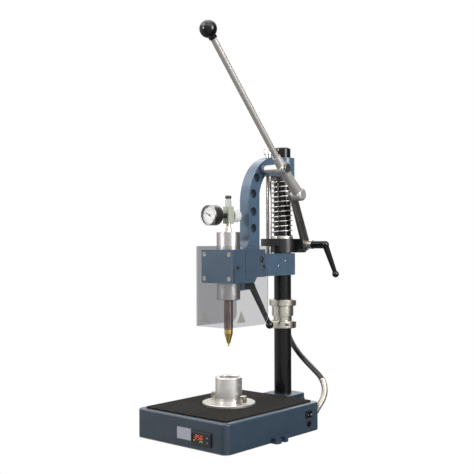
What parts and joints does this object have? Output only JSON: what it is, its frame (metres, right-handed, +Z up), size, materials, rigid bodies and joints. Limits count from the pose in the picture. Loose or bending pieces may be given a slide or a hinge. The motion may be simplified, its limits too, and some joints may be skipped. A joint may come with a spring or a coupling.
{
  "type": "bench heat insertion press",
  "caption": "Bench lever press with a heated brass tip, column, depth stop, clear guard and nest, for setting inserts in plastic.",
  "frame": {"origin": "on the bench surface, under the axis of the heated tip and the nest", "axes": "+Z up along the tip's axis, +X to the operator's right, +Y to the back, towards the column"},
  "size_m": [0.274, 0.3848, 0.8129],
  "materials": {
    "blue_grey_enamel": "satin enamel",
    "black_mat": "granular",
    "black_steel": "black oxide, glossy",
    "aluminium": "turned",
    "nickel": "nickel plate",
    "satin_chrome": "satin chrome",
    "steel": "brushed",
    "spring_steel": "drawn wire",
    "brass": "turned",
    "bronze": "sintered bronze",
    "black_plastic": "moulded",
    "black_gloss": "polished",
    "white_plastic": "moulded",
    "grey_plastic": "moulded",
    "clear_sheet": "clear polycarbonate",
    "lens": "clear",
    "display": "smoked",
    "bare_plate": "bare",
    "circuit_green": "solder mask",
    "needle_black": "matt",
    "cable_black": "sleeved"
  },
  "bodies": {
    "base": {"base_housing": "blue_grey_enamel", "bolt_down_lugs": "blue_grey_enamel", "base_cover_plate": "steel", "cover_screws": "steel", "work_mat": "black_mat", "column_foot": "blue_grey_enamel", "column_foot_screw": "steel", "column": "black_steel", "nest_flange": "aluminium", "nest_tube": "aluminium", "controller_case": "black_plastic", "controller_window": "display", "badge_plate": "bare_plate", "switch_frame": "black_plastic", "fuse_holder": "black_plastic", "power_inlet": "black_plastic", "base_gland": "nickel", "power_board": "circuit_green", "cable": "cable_black"},
    "nest_screw_left": {"nest_screw_left": "nickel"},
    "nest_screw_right": {"nest_screw_right": "nickel"},
    "key_lower": {"controller_key_lower": "black_plastic"},
    "key_upper": {"controller_key_upper": "black_plastic"},
    "rocker": {"switch_rocker": "black_gloss"},
    "fuse_cap": {"fuse_cap": "black_plastic"},
    "stop": {"stop_lower_collar": "nickel", "stop_collar_screw": "steel", "stop_sleeve": "nickel"},
    "stop_dial": {"stop_upper_collar": "nickel"},
    "clamp": {"clamp_block": "black_steel", "link_pin": "nickel", "spring_washer": "nickel", "return_spring": "spring_steel"},
    "clamp_handle": {"clamp_handle": "black_gloss"},
    "link": {"link": "steel"},
    "head": {"head_casting": "blue_grey_enamel", "head_cap": "blue_grey_enamel", "head_screws": "steel", "head_bushes": "bronze", "guide_rod": "steel", "guard": "clear_sheet", "guard_screws": "steel", "cylinder_tube": "aluminium", "cylinder_end_caps": "aluminium", "air_fitting": "nickel", "regulator_body": "grey_plastic", "gauge_case": "black_plastic", "gauge_lens": "lens", "inlet_fitting": "white_plastic", "lever_shaft": "steel"},
    "rod_knob": {"guide_rod_knob": "nickel"},
    "regulator_knob": {"regulator_knob": "white_plastic"},
    "needle": {"gauge_needle": "needle_black"},
    "lock_handle": {"lower_lock_handle": "black_gloss"},
    "lever": {"lever_hub": "satin_chrome", "lever_rod": "satin_chrome", "ball_knob": "black_gloss"},
    "ram": {"piston": "steel", "heater_barrel": "steel", "brass_tip": "brass"}
  },
  "joints": [
    {"name": "nest_screw_left_turn", "type": "hinge", "parent": "base", "child": "nest_screw_left", "pos_m": [-0.04, 0, 0.07], "axis": [0, 0, 1], "continuous": true},
    {"name": "nest_screw_right_turn", "type": "hinge", "parent": "base", "child": "nest_screw_right", "pos_m": [0.04, 0, 0.07], "axis": [0, 0, 1], "continuous": true},
    {"name": "key_lower_press", "type": "slide", "parent": "base", "child": "key_lower", "axis": [0, 1, 0], "range_m": [0, 0.0008], "stiffness_N_per_m": 400, "springref_m": -0.0005},
    {"name": "key_upper_press", "type": "slide", "parent": "base", "child": "key_upper", "axis": [0, 1, 0], "range_m": [0, 0.0008], "stiffness_N_per_m": 400, "springref_m": -0.0005},
    {"name": "rocker_throw", "type": "hinge", "parent": "base", "child": "rocker", "pos_m": [0.12, 0.111, 0.037], "axis": [0, 0, 1], "range_deg": [0, 16]},
    {"name": "fuse_cap_turn", "type": "hinge", "parent": "base", "child": "fuse_cap", "pos_m": [0.121, 0.111, 0.018], "axis": [1, 0, 0], "range_deg": [0, 60]},
    {"name": "stop_height", "type": "slide", "parent": "base", "child": "stop", "axis": [0, 0, 1], "range_m": [-0.12, 0]},
    {"name": "stop_dial_turn", "type": "hinge", "parent": "stop", "child": "stop_dial", "pos_m": [0, 0.181, 0.258], "axis": [0, 0, 1], "continuous": true},
    {"name": "column_height", "type": "slide", "parent": "base", "child": "clamp", "axis": [0, 0, 1], "range_m": [0, 0.018]},
    {"name": "clamp_handle_turn", "type": "hinge", "parent": "clamp", "child": "clamp_handle", "pos_m": [0.08, 0.204, 0.386], "axis": [1, 0, 0], "range_deg": [-60, 30]},
    {"name": "press_stroke", "type": "slide", "parent": "clamp", "child": "head", "axis": [0, 0, -1], "range_m": [0, 0.05], "stiffness_N_per_m": 2500, "springref_m": -0.04, "deforming": ["return_spring"]},
    {"name": "link_swing", "type": "hinge", "parent": "clamp", "child": "link", "pos_m": [0.047, 0.204, 0.386], "axis": [1, 0, 0], "range_deg": [-12, 1]},
    {"name": "rod_knob_turn", "type": "hinge", "parent": "head", "child": "rod_knob", "pos_m": [0, 0.133, 0.588], "axis": [0, 0, 1], "continuous": true},
    {"name": "regulator_knob_turn", "type": "hinge", "parent": "head", "child": "regulator_knob", "pos_m": [0, 0.018, 0.446], "axis": [0, 1, 0], "continuous": true},
    {"name": "needle_swing", "type": "hinge", "parent": "head", "child": "needle", "pos_m": [0, -0.058, 0.446], "axis": [0, 1, 0], "range_deg": [-75, 195]},
    {"name": "lock_handle_turn", "type": "hinge", "parent": "head", "child": "lock_handle", "pos_m": [0.003, 0.05, 0.2995], "axis": [0, 1, 0], "range_deg": [-45, 45]},
    {"name": "lever_pull", "type": "hinge", "parent": "head", "child": "lever", "pos_m": [0.063, 0.1, 0.5464], "axis": [1, 0, 0], "range_deg": [-1, 46]},
    {"name": "ram_float", "type": "slide", "parent": "head", "child": "ram", "axis": [0, 0, 1], "range_m": [0, 0.015], "stiffness_N_per_m": 600, "springref_m": -0.02}
  ],
  "couplings": [
    {"joint": "lever_pull", "follows": "press_stroke", "rad_per_m": 15.832},
    {"joint": "link_swing", "follows": "press_stroke", "rad_per_m": -3.6161}
  ]
}
